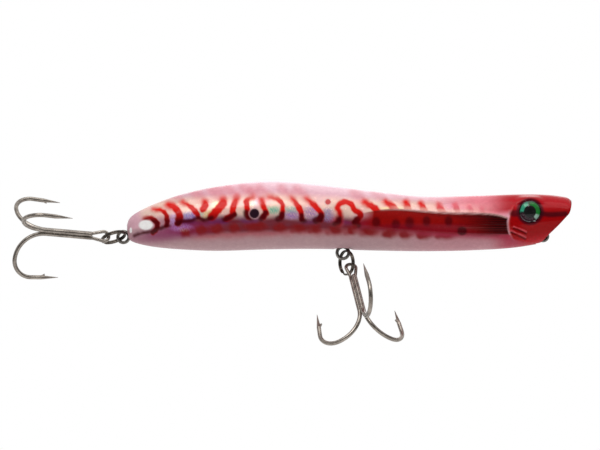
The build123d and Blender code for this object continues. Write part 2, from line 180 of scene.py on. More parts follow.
BLOBS = [  # X, Z, half length
    (-96.3, 1.0, 1.7), (-92.2, 1.6, 1.9), (-88.1, 1.9, 2.1), (-83.3, 2.2, 1.6), (-77.6, 2.5, 3.2),
    (-70.9, 2.3, 1.9), (-65.9, 2.1, 2.5), (-61.5, 1.9, 1.7), (-56.4, 1.6, 2.2), (-52.0, 1.5, 1.5),
    (-47.3, 1.1, 2.3), (-42.0, 0.6, 1.8), (-37.7, 0.4, 1.8), (-32.6, 0.4, 2.2), (-26.9, 0.3, 2.8),
]
DOTS = [(-77.9, 6.1, 1.3), (-58.2, 9.2, 0.75)]
# white spots on the tail: painted highlights, the larger one also a white spot of the pattern
WHITE_SPOTS_AND_HIGHLIGHTS = [(-107.2, 3.0, 1.9, 1.3, 0.4), (-111.3, 1.6, 0.35, 0.75, 0.5)]   # X, Z, half sizes, soft edge
GLINTS = [  # X, Z, half length, half height, colour of the foil's rainbow
    (-95.2, 5.5, 1.9, 0.8, (150, 95, 225)), (-94.2, 5.7, 0.8, 0.5, (75, 60, 200)),
    (-90.5, 6.0, 1.7, 0.9, (240, 215, 110)), (-92.4, 6.2, 0.7, 0.6, (150, 235, 200)),
    (-97.6, 2.3, 2.2, 0.8, (150, 55, 170)), (-99.6, 4.6, 0.9, 1.3, (205, 160, 225)),
    (-72.9, 7.0, 1.5, 0.8, (85, 205, 160)), (-67.9, 7.0, 1.9, 0.8, (120, 205, 175)),
    (-68.0, 5.6, 1.9, 0.8, (160, 110, 190)), (-62.6, 6.4, 1.8, 1.4, (160, 95, 190)),
    (-58.2, 5.8, 1.2, 1.4, (140, 90, 190)), (-88.0, 8.4, 1.0, 0.8, (250, 235, 170)),
    (-78.5, 8.8, 1.0, 1.2, (250, 225, 190)), (-41.0, 7.5, 2.6, 0.35, (250, 235, 120)),
]

# ---------------- colours, sRGB
PINK = (236, 182, 196)
PINK_TAIL = (212, 166, 178)
# paler pink along the top of the back, partly a painted highlight
PALE_PINK_AND_HIGHLIGHT = (252, 214, 224)
CORAL = (240, 128, 142)
CREAM = (246, 202, 184)
RED = (228, 24, 14)
DEEP_RED = (160, 8, 12)
MAROON = (72, 0, 8)
WINE = (114, 14, 38)
MAUVE = (108, 42, 92)
TAIL_PURPLE = (142, 44, 96)
BLUSH = (176, 60, 74)
BLOB_RED = (136, 0, 4)
# greyed pink of the belly, partly painted shade from below
BELLY_WITH_SHADE = (190, 154, 158)
HEAD = (186, 16, 30)
LOW_HEAD = (178, 44, 72)
CHEEK = (160, 2, 4)
CUP_RED = (150, 10, 20)
SCOOP_RED = (150, 10, 8)
# painted shade deep in the scoop
SCOOP_SHADE = (34, 0, 4)
DOT = (40, 20, 32)
PLASTIC = (226, 214, 210)
WHITE = (252, 250, 248)
FRONT_BELLY = (204, 140, 150)
FRONT_WINE = (146, 24, 54)
GHOST = (218, 100, 112)
DOT_RIM = (216, 170, 176)
SMALL_DOT = (214, 84, 84)
SCOOP_GLOW = (172, 44, 74)
# painted highlight along the ledge over the scoop
LEDGE_HIGHLIGHT = (244, 196, 190)
# painted highlight on the gill plate's raised rim
GILL_RIM_HIGHLIGHT = (230, 104, 104)
# painted highlight on the raised lips of the gill slits
SLIT_HIGHLIGHT = (222, 84, 92)
EYE_SOCKET = (52, 6, 22)
BEHIND_EYE = (70, 4, 18)
STREAK = (58, 4, 16)
PUPIL = (4, 4, 8)
IRIS_DARK = (26, 12, 20)
IRIS_GREEN = (20, 190, 66)
IRIS_CYAN = (78, 250, 196)
# painted highlight on the iris
IRIS_GLINT = (215, 255, 238)
IRIS_MAROON = (66, 20, 44)
IRIS_RIM_HIGHLIGHT = (190, 170, 180)

METALS = {                         # light and dark colour, roughness, scratches
    "hook_nickel": ((178, 169, 159), (118, 110, 103), 0.24, 0.07),
    "ring_steel": ((118, 110, 102), (66, 60, 55), 0.26, 0.1),
    "hanger_wire": ((146, 140, 134), (92, 88, 84), 0.28, 0.1),
    "weight_metal": ((150, 150, 152), (108, 108, 112), 0.42, 0.4),
    "tube_brass": ((206, 168, 92), (158, 120, 58), 0.34, 0.3),
    "ball_steel": ((206, 206, 208), (170, 170, 174), 0.14, 0.1),
}

# ---------------- split rings, as in the CAD part
RING_RADIUS = 3.2                  # to the middle of the wire
RING_WIRE = 0.52
RING_PITCH = 0.5                   # between the two turns
RING_STEPS = 180

# ---------------- studio
VIEW_MIDDLE = (-65.7, 3.0)         # X, Z at the middle of the picture
VIEW_WIDTH = 162.2
LENS = 200.0
SENSOR = 36.0
FLOOR_DROP = 52.0                  # below the lowest hook
FLOOR_X = (-400, 300)
FLOOR_Y = (-300, 250)
LAMPS = [                          # name, place, size, power
    ("top_box", (-60, -120, 330), (420, 220), 0.46),
    ("front_box", (-150, -330, 300), (260, 160), 0.62),
    ("back_box", (-40, 380, 160), (300, 200), 0.15),
]
SKY_BY_HEIGHT = (-0.6, 0.6, 0.3, 0.95)     # Z of the view from, to, and the sky's strength there
SKY_BY_SIDE = (-1.0, 0.5, 0.16, 1.0)       # the same for Y: darker on the camera's side


# ---------------- small helpers
def smooth(value):
    """0 below 0, 1 above 1 and an S between them."""
    value = np.clip(value, 0.0, 1.0)
    return value * value * (3 - 2 * value)


def rise(value, start, length):
    """0 up to a start and 1 a length past it."""
    return smooth((value - start) / length)


def linear(colour):
    """Linear RGB of an sRGB colour given as 0 to 255."""
    share = np.array(colour, float) / 255
    return np.where(share <= 0.04045, share / 12.92, ((share + 0.055) / 1.055) ** 2.4)


def rgba(colour):
    """A socket's colour."""
    return (*linear(colour), 1.0)


def curve(points, steps=8):
    """A smooth line through points, close enough together to measure distances from."""
    points = np.array(points, float)
    padded = np.vstack([2 * points[0] - points[1], points, 2 * points[-1] - points[-2]])
    line = []
    for before, start, end, after in zip(padded, padded[1:], padded[2:], padded[3:]):
        for t in np.linspace(0, 1, steps, endpoint=False):
            line.append(0.5 * (2 * start + (end - before) * t
                               + (2 * before - 5 * start + 4 * end - after) * t ** 2
                               + (3 * start - before - 3 * end + after) * t ** 3))
    line.append(points[-1])
    return np.array(line)


def nearest(x, z, line):
    """Distance in side view from each point to a line, and how far along the line that is, from 0 to 1."""
    best = np.full(x.shape, 1e9)
    place = np.zeros(x.shape)
    for number, ((ax, az), (bx, bz)) in enumerate(zip(line, line[1:])):
        dx, dz = bx - ax, bz - az
        t = np.clip(((x - ax) * dx + (z - az) * dz) / (dx * dx + dz * dz), 0, 1)
        far = np.hypot(x - ax - t * dx, z - az - t * dz)
        place = np.where(far < best, (number + t) / (len(line) - 1), place)
        best = np.minimum(best, far)
    return best, place


def distance(x, z, line):
    """Distance in side view from each point to a line."""
    return nearest(x, z, line)[0]


def along(values, points, key=0):
    """A smooth line's other coordinate at each value of one of them."""
    line = curve(points)
    order = np.argsort(line[:, key])
    return np.interp(values, line[order, key], line[order, 1 - key])


def noise(x, z, scale, seed):
    """Smooth noise between -1 and 1, a sum of seeded waves."""
    draw = np.random.default_rng(seed)
    total = np.zeros(x.shape)
    for _ in range(7):
        angle, phase = draw.uniform(0, 2 * math.pi, 2)
        pace = draw.uniform(0.6, 1.5) / scale
        total += np.sin((x * math.cos(angle) + z * math.sin(angle)) * pace * 2 * math.pi + phase)
    return total / 7 * 1.6


def section(x):
    """Top, bottom and half width of the body at each X."""
    x = np.clip(x, STATIONS[0, 0], STATIONS[-1, 0] - 0.001)
    index = np.clip(np.searchsorted(STATIONS[:, 0], x, side="right") - 1, 0, len(STATIONS) - 2)
    before, start = STATIONS[np.maximum(index - 1, 0)], STATIONS[index]
    end, after = STATIONS[index + 1], STATIONS[np.minimum(index + 2, len(STATIONS) - 1)]
    span = end[..., 0] - start[..., 0]
    t = (x - start[..., 0]) / span
    values = []
    for k in (1, 2, 3):
        slope_start = (end[..., k] - before[..., k]) / (end[..., 0] - before[..., 0]) * span
        slope_end = (after[..., k] - start[..., k]) / (after[..., 0] - start[..., 0]) * span
        values.append(start[..., k] * (2 * t ** 3 - 3 * t ** 2 + 1) + end[..., k] * (3 * t ** 2 - 2 * t ** 3)
                      + slope_start * (t ** 3 - 2 * t ** 2 + t) + slope_end * (t ** 3 - t ** 2))
    return values


# ---------------- making objects
def new_object(name, verts, faces, smooth_angle=35.0):
    """A mesh object from points in millimetres."""
    mesh = bpy.data.meshes.new(name)
    mesh.from_pydata((np.asarray(verts) * MM).tolist(), [], [list(f) for f in faces])
    finish_mesh(mesh, smooth_angle)
    piece = bpy.data.objects.new(name, mesh)
    bpy.context.scene.collection.objects.link(piece)
    return piece


def finish_mesh(mesh, smooth_angle):
    """Faces turned outward and shaded smooth, except across sharp edges."""
    work = bmesh.new()
    work.from_mesh(mesh)
    bmesh.ops.recalc_face_normals(work, faces=work.faces)
    work.to_mesh(mesh)
    work.free()
    mesh.shade_smooth()
    mesh.set_sharp_from_angle(angle=math.radians(smooth_angle))


def coordinates(piece):
    """A piece's points, in millimetres."""
    values = np.zeros(len(piece.data.vertices) * 3)
    piece.data.vertices.foreach_get("co", values)
    return values.reshape(-1, 3) / MM


def point_normals(piece):
    """The direction that each of a piece's points faces."""
    values = np.zeros(len(piece.data.vertices) * 3)
    piece.data.vertex_normals.foreach_get("vector", values)
    return values.reshape(-1, 3)


def paint(piece, name, colours):
    """Writes one colour for each point, in linear RGB."""
    layer = piece.data.attributes.new(name, "FLOAT_COLOR", "POINT")
    values = np.ones((len(colours), 4))
    values[:, :3] = colours
    layer.data.foreach_set("color", values.ravel())


def lathe(profile, centre, side, segments=96):
    """Points and faces of a profile of (radius, Y) turned about the Y axis through a centre, on one side."""
    verts, faces = [], []
    for radius, y in profile:
        for k in range(segments):
            angle = 2 * math.pi * k / segments
            x, z = centre[0] + radius * math.cos(angle), centre[1] + radius * math.sin(angle)
            verts.append((x, side * y, z))
    for ring in range(len(profile) - 1):
        for k in range(segments):
            a, b = ring * segments + k, ring * segments + (k + 1) % segments
            faces.append((a, b, b + segments, a + segments))
    faces.append(tuple(range(segments)))
    faces.append(tuple(range((len(profile) - 1) * segments, len(profile) * segments)))
    return verts, faces


def tube(line, radii, segments=20):
    """Points and faces of a round bar along a line, with one radius for each of its points."""
    line = np.array(line, float)
    tangents = np.gradient(line, axis=0)
    tangents /= np.linalg.norm(tangents, axis=1)[:, None]
    across = np.cross(tangents[0], (0.31, 0.17, 0.93))
    verts, faces = [], []
    for point, tangent, radius in zip(line, tangents, radii):
        across = across - tangent * (across @ tangent)
        across /= np.linalg.norm(across)
        other = np.cross(tangent, across)
        for k in range(segments):
            angle = 2 * math.pi * k / segments
            verts.append(point + radius * (across * math.cos(angle) + other * math.sin(angle)))
    for ring in range(len(line) - 1):
        for k in range(segments):
            a, b = ring * segments + k, ring * segments + (k + 1) % segments
            faces.append((a, b, b + segments, a + segments))
    faces.append(tuple(range(segments)))
    faces.append(tuple(range((len(line) - 1) * segments, len(line) * segments)))
    return np.array(verts), faces


# ---------------- body halves
def relief(x, z):
    """How far the flank stands out at each point: the scoop, the gill plate's rim and the gill slits."""
    ledge = along(x, LEDGE)
    gill = along(z, GILL, key=1)
    behind = 1 - smooth((x - gill + 0.5) / 0.45)
    rear = rise(x, -52, 34)
    below = 1 - smooth((z - ledge + 0.3) / 0.35)
    above = smooth((z - along(x, SCOOP_FLOOR)) / 2.4)
    height = -SCOOP_DEPTH * rear * behind * below * above
    lines = rise(x, -24, 8) * rear * behind * below * above
    height += 0.035 * lines * np.sin(z * 2 * math.pi / 0.62)
    on_gill = rise(z, -1.2, 1.2) * (1 - rise(z, 7.6, 1.4))
    height += 0.26 * on_gill * np.exp(-((x - gill - 0.15) / 0.32) ** 2)
    height += 0.14 * rear * behind * np.exp(-((z - ledge - 0.25) / 0.3) ** 2)
    height -= TAIL_DRAW * (1 - rise(x, -111.9, 0.9))
    for slit in SLITS:
        height -= 0.26 * np.exp(-(distance(x, z, curve(slit)) / 0.24) ** 2)
        lip = [(px, pz + 0.5) for px, pz in slit]
        height += 0.2 * np.exp(-(distance(x, z, curve(lip)) / 0.28) ** 2)
    return height


def ring_grid(rows, angles, inset=0.0):
    """Points of the right flank: a row for each X and a column for each angle from the back to the belly."""
    start, angle = np.meshgrid(rows, angles, indexing="ij")
    lean = smooth((start - SHEAR_START) / (MOUTH_MIDDLE[0] - SHEAR_START)) * MOUTH_SLOPE
    x = start.copy()
    for _ in range(40):
        top, bottom, half_width = section(x)
        z = (top + bottom) / 2 + ((top - bottom) / 2 - inset) * np.sin(angle)
        x = start + lean * (z - MOUTH_MIDDLE[1])
    y = -np.maximum((half_width - inset) * np.cos(angle), SPLIT_GAP / 2)
    return np.stack([x, y, z], axis=-1)


def rounded_lip(points):
    """The mouth's edge swelled forward and the upper lip drawn in to a blunt round edge."""
    face = MOUTH_MIDDLE[0] + MOUTH_SLOPE * (points[..., 2] - MOUTH_MIDDLE[1])
    near = smooth((points[..., 0] - face + SWELL_DEPTH) / SWELL_DEPTH)
    points[..., 0] += near * np.interp(points[..., 2], *np.array(SWELL).T)
    start, reach, softness = LIP
    beyond = np.maximum(points[..., 0] - start, 0)
    points[..., 0] = np.minimum(points[..., 0], start) + reach * np.tanh(beyond / softness)
    top = np.maximum(points[..., 0] - LIP_DROP[0], 0) / (start + reach - LIP_DROP[0])
    points[..., 2] -= LIP_DROP[1] * top ** 3 * smooth((points[..., 2] - 7.6) / 1.6)
    return points


def with_relief(grid, eye, eye_radius):
    """The outer grid with its relief, the parting groove and the raised rim round the eye."""
    normal = np.cross(np.gradient(grid, axis=1), np.gradient(grid, axis=0))
    normal /= np.maximum(np.linalg.norm(normal, axis=-1), 1e-9)[..., None]
    normal *= np.sign(-normal[..., 1:2] + 1e-9)
    top, bottom, half_width = section(grid[..., 0])
    flank = smooth((-grid[..., 1] / half_width - 0.1) / 0.3)
    grid = grid + normal * (relief(grid[..., 0], grid[..., 2]) * flank)[..., None]
    reach = np.hypot(grid[..., 0] - eye[0], grid[..., 2] - eye[1])
    pull = 1 - smooth((reach - eye_radius - EYE_RIM_WIDTH) / EYE_RIM_FADE)
    pull *= smooth((-grid[..., 1] / half_width - 0.22) / 0.3)
    grid[..., 1] -= pull * np.maximum(EYE_RIM + grid[..., 1], 0)
    middle = (top + bottom) / 2
    for column, depth in ((0, 0.09), (1, 0.02), (-2, 0.02), (-1, 0.09)):
        grid[:, column, 2] -= np.sign(grid[:, column, 2] - middle[:, column]) * depth
    return grid


def mouth_rings(rim, angles):
    """Rings from the body's front rim over the lip, across the slanted face and down into the cup."""
    normal = np.array((1.0, 0.0, -MOUTH_SLOPE)) / math.hypot(1, MOUTH_SLOPE)
    run = np.array((MOUTH_SLOPE, 0.0, 1.0)) / math.hypot(1, MOUTH_SLOPE)
    origin = np.array((MOUTH_MIDDLE[0], 0.0, MOUTH_MIDDLE[1]))
    flat = math.sqrt(1 - (CUP_SHIFT / CUP[2]) ** 2)

    def ellipse(share, depth):
        side = -np.maximum(CUP[0] * share * np.cos(angles), SPLIT_GAP / 2)
        up = CUP[1] * share * np.sin(angles)
        return origin + normal * depth + np.outer(side, (0, 1, 0)) + np.outer(up, run)

    edge = ellipse(flat, 0.0)
    inward = edge - rim
    length = np.linalg.norm(inward, axis=1)[:, None]
    inward = inward / np.maximum(length, 1e-6)
    corner = np.minimum(LIP_ROUND, length * 0.35)
    rings = []
    for t in np.linspace(0, 1, 6):
        back = rim - normal * corner * (1 - t) ** 2
        rings.append(back + inward * corner * t * t)
    rings += [rim + inward * (corner + (length - 2 * corner) * t) for t in (0.33, 0.66)]
    for t in np.linspace(0, 1, 5):
        down = ellipse(flat, 0.0) - normal * (0.35 * t * t)
        rings.append(down - inward * corner * (1 - t) ** 2)
    start = math.acos((CUP_SHIFT + 0.35) / CUP[2] if CUP_SHIFT + 0.35 < CUP[2] else 0)
    for turn in np.linspace(math.pi / 2 - start, math.pi / 2, 22)[1:-1]:
        rings.append(ellipse(math.cos(turn), CUP_SHIFT - CUP[2] * math.sin(turn)))
    pole = origin + normal * (CUP_SHIFT - CUP[2]) - np.array((0, SPLIT_GAP / 2, 0))
    return rings, pole


def strip_faces(first, second):
    """Quads between two rings of point numbers."""
    return [(a, b, d, c) for a, b, c, d in zip(first, first[1:], second, second[1:])]


def right_half(eye, eye_radius):
    """Points and faces of the closed right half: skin, mouth, inner wall and the flat parting face."""
    angles = np.linspace(math.pi / 2, -math.pi / 2, COLUMNS)
    tail = STATIONS[0, 0] + TAIL_ROUND * np.linspace(0, 1, TAIL_ROWS, endpoint=False) ** 2
    count = round((MOUTH_MIDDLE[0] - tail[-1]) / ROW)
    rows = np.concatenate([tail, np.linspace(STATIONS[0, 0] + TAIL_ROUND, MOUTH_MIDDLE[0], count)])
    skin = with_relief(ring_grid(rows, angles), eye, eye_radius)
    rings, pole = mouth_rings(skin[-1], angles)
    body = np.concatenate([skin[:-1], np.array(rings)])
    body = rounded_lip(body)

    number = np.arange(body.shape[0] * COLUMNS).reshape(body.shape[0], COLUMNS)
    verts = list(body.reshape(-1, 3))
    faces = []
    for first, second in zip(number, number[1:]):
        faces += strip_faces(first, second)
    tail_tip = len(verts)
    verts.append(np.array((STATIONS[0, 0] - 0.02, -SPLIT_GAP / 2, body[0, :, 2].mean())))
    cup_pole = len(verts)
    verts.append(pole)
    faces += [(tail_tip, b, a) for a, b in zip(number[0], number[0][1:])]
    faces += [(cup_pole, a, b) for a, b in zip(number[-1], number[-1][1:])]

    inner_rows = np.flatnonzero((rows[:-1] >= CAVITY[0]) & (rows[:-1] <= CAVITY[1]))[::COARSE]
    inner = ring_grid(rows[inner_rows], angles[::COARSE], WALL)
    inner_number = len(verts) + np.arange(inner.shape[0] * inner.shape[1]).reshape(inner.shape[:2])
    verts += list(inner.reshape(-1, 3))
    for first, second in zip(inner_number, inner_number[1:]):
        faces += strip_faces(second, first)
    faces.append(tuple(inner_number[0]))
    faces.append(tuple(inner_number[-1][::-1]))

    first, last = inner_rows[0], inner_rows[-1]
    for place, (start, end) in enumerate(zip(inner_rows, inner_rows[1:])):
        for column, inside in ((0, 0), (-1, -1)):
            outer = number[start:end + 1, column]
            faces.append((*outer, inner_number[place + 1, inside], inner_number[place, inside]))
    faces.append((tail_tip, *number[:first + 1, 0], inner_number[0, 0], inner_number[0, -1],
                  *number[:first + 1, -1][::-1]))
    faces.append((*number[last:, 0], cup_pole, *number[last:, -1][::-1],
                  inner_number[-1, -1], inner_number[-1, 0]))
    return np.array(verts), faces


def cutter(name, kind, centre, radius, length=1.0):
    """A round bar along Y, or a ball, to cut a body half with."""
    work = bmesh.new()
    if kind == "bar":
        turn = Matrix.Rotation(math.pi / 2, 4, "X")
        bmesh.ops.create_cone(work, cap_ends=True, segments=128, radius1=radius, radius2=radius, depth=length,
                              matrix=turn)
    else:
        bmesh.ops.create_icosphere(work, subdivisions=5, radius=radius)
    bmesh.ops.transform(work, matrix=Matrix.Translation(centre), verts=work.verts)
    bmesh.ops.scale(work, vec=(MM, MM, MM), verts=work.verts)
    mesh = bpy.data.meshes.new(name)
    work.to_mesh(mesh)
    work.free()
    piece = bpy.data.objects.new(name, mesh)
    bpy.context.scene.collection.objects.link(piece)
    return piece


def cut(piece, cutters):
    """Cuts a piece with each cutter and removes the cutters."""
    for tool in cutters:
        change = piece.modifiers.new(tool.name, "BOOLEAN")
        change.operation = "DIFFERENCE"
        change.solver = "EXACT"
        change.object = tool
    bpy.context.view_layer.update()
    graph = bpy.context.evaluated_depsgraph_get()
    mesh = bpy.data.meshes.new_from_object(piece.evaluated_get(graph))
    piece.modifiers.clear()
    old, piece.data = piece.data, mesh
    bpy.data.meshes.remove(old)
    for tool in cutters:
        bpy.data.objects.remove(tool)
    mesh.shade_smooth()
    mesh.set_sharp_from_angle(angle=math.radians(38))


# ---------------- paint
def layer(colours, colour, share):
    """Lays one colour over the others, as much as share says at each point."""
    share = np.clip(share, 0, 1)[:, None]
    return colours * (1 - share) + linear(colour) * share


def stroke(x, z, half_width, points, edge=0.5, taper=0.0):
    """How much of a painted stroke covers each point. A tapered one starts soft."""
    line = curve(points)
    share = np.zeros(x.shape)
    near = np.abs(x - line[:, 0].mean()) < np.ptp(line[:, 0]) + 2 * half_width + 4
    x, z = x[near], z[near]
    far, place = nearest(x, z, line)
    begun = 1 - taper * (1 - smooth(place / 0.4))
    half = half_width * STROKE_WIDTH * (0.9 + 0.1 * begun)
    edge = edge + 1.0 * (1 - begun)
    wobble = 0.13 * noise(x, z, 4.5, 5) + 0.11 * noise(x, z, 1.7, 6)
    share[near] = 1 - smooth((far + wobble - half + edge / 2) / edge)
    return share


def spot(x, z, place, reach, tall=None, edge=0.5):
    """How much of a round or oval spot covers each point."""
    tall = tall or reach
    far = np.hypot((x - place[0]) / reach, (z - place[1]) / tall)
    return 1 - smooth((far - 1 + edge / 2) / edge)


def ground_coat(x, z, height, band):
    """Pale belly, pink back and the cream flank between them, and how much of the flank is cream. The belly's
    greyed pink is partly painted shade from below, and the paler pink along the top of the back is partly a
    painted highlight.
    """
    colours = np.tile(linear(BELLY_WITH_SHADE), (len(x), 1))
    colours = layer(colours, PINK, rise(height, 0.40, 0.2))
    colours = layer(colours, PINK_TAIL, smooth((-84 - x) / 16) * rise(height, 0.4, 0.2))
    # paler pink along the top of the back: partly paint, partly a painted highlight
    colours = layer(colours, PALE_PINK_AND_HIGHLIGHT, rise(height, 0.80, 0.2) * rise(x, -92, 20))
    flank = smooth((z - band + 0.5) / 2.6) * (1 - smooth((z - 10.2 + 0.05 * np.abs(x + 74)) / 2.2))
    flank *= rise(x, -110, 3) * (1 - rise(x, -22, 12))
    flank *= 1 - rise(x, -53, 5) * (1 - rise(z, 5.4, 1.4))
    return layer(colours, CREAM, flank * 0.9), flank


def wine_band(colours, x, z, height, band):
    """The wine and purple band under the stripes, with its soft red lower edge."""
    low = 0.9 + 0.04 * np.minimum(x + 66, 0) - 0.035 * np.maximum(x + 50, 0) + 0.3 * noise(x, z, 5.5, 12)
    wine = smooth((z - low) / 1.4) * (1 - smooth((z - band + 0.3) / 2.3))
    wine *= rise(x, -108, 12) * (1 - rise(x, -20, 10))
    blush = np.exp(-((z - low - 0.3) / 1.1) ** 2) * rise(x, -100, 8) * (1 - rise(x, -30, 12))
    cloud = smooth((noise(x, z, 9, 8) + 0.25) / 0.7)
    colours = layer(colours, BLUSH, 0.7 * blush)
    under = 1 - rise(height, 0.4, 0.1)
    colours = layer(colours, FRONT_BELLY, 0.7 * rise(x, -46, 24) * under)
    colours = layer(colours, WINE, wine * 0.95)
    colours = layer(colours, MAUVE, wine * cloud * rise(z, 2.6, 1.2) * 0.75)
    colours = layer(colours, FRONT_WINE, 0.8 * wine * rise(x, -56, 8))
    return layer(colours, TAIL_PURPLE, 0.8 * spot(x, z - 0.14 * (x + 100), (-100, 0.9), 10, 2.0, 1.3))


def ghosts_and_glints(colours, x, z):
    """Faint stripes up the back and the foil's rainbow glints, and how much the glints cover."""
    fade = rise(x, -106, 6) * (1 - 0.6 * rise(x, -50, 16))
    for reach, line in STRIPES:
        above = (line[0][0] - 2.8, line[0][1] + 2.6)
        ghost = 0.42 * stroke(x, z, reach * 1.4, [above, line[0]], 2.0)
        colours = layer(colours, GHOST, ghost * fade)
    grain = np.clip(0.66 + 0.45 * noise(x, z, 0.7, 3) + 0.25 * noise(z, x, 1.1, 4), 0, 1)
    glow = np.zeros(len(x))
    for px, pz, long, tall, colour in GLINTS:
        share = spot(x, z, (px, pz), long * 1.15, tall * 1.15, 1.2) * grain
        colours = layer(colours, colour, share)
        glow = np.maximum(glow, share)
    return colours, glow


def stripes_and_marks(colours, x, z):
    """The stripes with their dark feet, the blobs, dots and white spots (painted highlights on the tail, the
    larger one also a white spot of the pattern), and where foil is covered.
    """
    marks = np.zeros(len(x))
    fade = 1 - 0.5 * rise(z, 9.4, 1.8)
    for reach, line in STRIPES:
        share = stroke(x, z, reach, line, 0.55, 1.0)
        colours = layer(colours, RED, share * fade)
        colours = layer(colours, DEEP_RED, 0.8 * share * (1 - rise(z, 5.2, 2.4)))
        colours = layer(colours, MAROON, 0.9 * share * (1 - rise(z, 3.8, 2.2)))
        marks = np.maximum(marks, share)
    for reach, line in DARK_LINES + FEET:
        share = stroke(x, z, reach, line, 0.85)
        colours = layer(colours, MAROON, share * 0.9)
        marks = np.maximum(marks, share)
    ripple = 0.5 * noise(x, z, 3.2, 11)
    for px, pz, long in BLOBS:
        blob = spot(x + ripple, z + 0.5 * ripple, (px, pz), long, 1.2, 1.2)
        colours = layer(colours, BLOB_RED, 0.95 * blob)
    for px, pz, reach in DOTS:
        share = spot(x, z, (px, pz), reach, None, 0.2)
        colours = layer(colours, DOT_RIM, 0.6 * spot(x, z, (px, pz), reach + 0.25, None, 0.3))
        colours = layer(colours, DOT if reach > 1 else SMALL_DOT, share)
        marks = np.maximum(marks, share)
    # white spots on the tail: painted highlights, the larger one also a white spot of the pattern
    for px, pz, long, tall, edge in WHITE_SPOTS_AND_HIGHLIGHTS:
        colours = layer(colours, WHITE, spot(x, z, (px, pz), long, tall, edge))
    return colours, marks


def body_colours(points, normals):
    """The paint at each point of a body half, and how much of the bright foil shows through it."""
    x, z = points[:, 0], points[:, 2]
    top, bottom, half_width = section(x)
    height = (z - bottom) / np.maximum(top - bottom, 0.5)
    band = 4.3 + 0.5 * noise(x, z * 0, 14, 2)            # Z where the stripes' feet stand
    colours, flank = ground_coat(x, z, height, band)
    colours = wine_band(colours, x, z, height, band)
    colours, glow = ghosts_and_glints(colours, x, z)
    colours, marks = stripes_and_marks(colours, x, z)
    colours = paint_front(colours, x, z, height)

    bare = (1 - marks) * (1 - rise(x, -16, 5)) * (1 - scoop_share(x, z))
    foil = np.clip(0.55 * flank + glow, 0, 1) * bare
    facing = facing_out(points, normals, top, bottom, half_width)
    colours = layer(colours, CUP_RED, (facing < -0.1) & (x > -5))
    inside = ((facing < -0.3) & (x < -10)).astype(float)
    return layer(colours, PLASTIC, inside), foil * (1 - inside)


def scoop_share(x, z):
    """How much of the scoop's dark paint covers each point."""
    behind = 1 - smooth((x - along(z, GILL, key=1) + 0.5) / 0.3)
    under = 1 - smooth((z - along(x, LEDGE) + 0.1) / 0.4)
    return behind * under * smooth((z - along(x, SCOOP_FLOOR) + 0.9) / 1.7) * rise(x, -52, 7)


